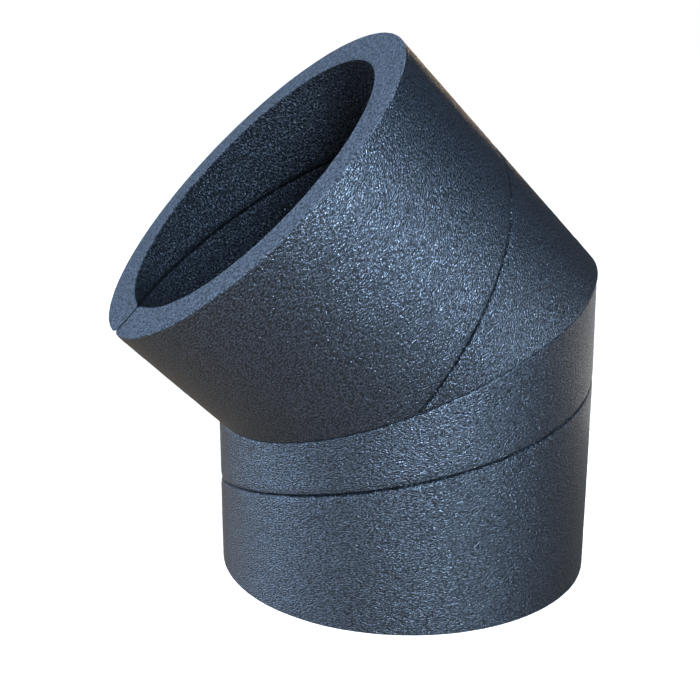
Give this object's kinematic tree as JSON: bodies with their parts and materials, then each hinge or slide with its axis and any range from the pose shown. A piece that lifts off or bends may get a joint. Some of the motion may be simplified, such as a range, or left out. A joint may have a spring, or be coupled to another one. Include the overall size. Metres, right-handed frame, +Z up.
{
  "type": "pipe insulation elbow",
  "caption": "Mitred 45 degree elbow of spirally wound closed-cell foam tube that slips over a round duct or pipe bend to insulate it.",
  "frame": {"origin": "on the floor plane, under the middle of the bounding box; the lower leg's axis stands about 21 mm towards +X of it", "axes": "+Z up along the lower leg's axis; the upper leg leans 45 degrees towards -X; Y is across the bend"},
  "size_m": [0.197, 0.155, 0.2165],
  "materials": {
    "lower_foam": "dark blue-grey closed-cell polyethylene foam with a fine wrinkled skin; cut faces lighter and matt",
    "upper_foam": "dark blue-grey closed-cell polyethylene foam with a fine wrinkled skin; cut faces lighter and matt"
  },
  "bodies": {
    "root": {"lower_leg": "lower_foam", "upper_leg": "upper_foam"}
  },
  "joints": []
}
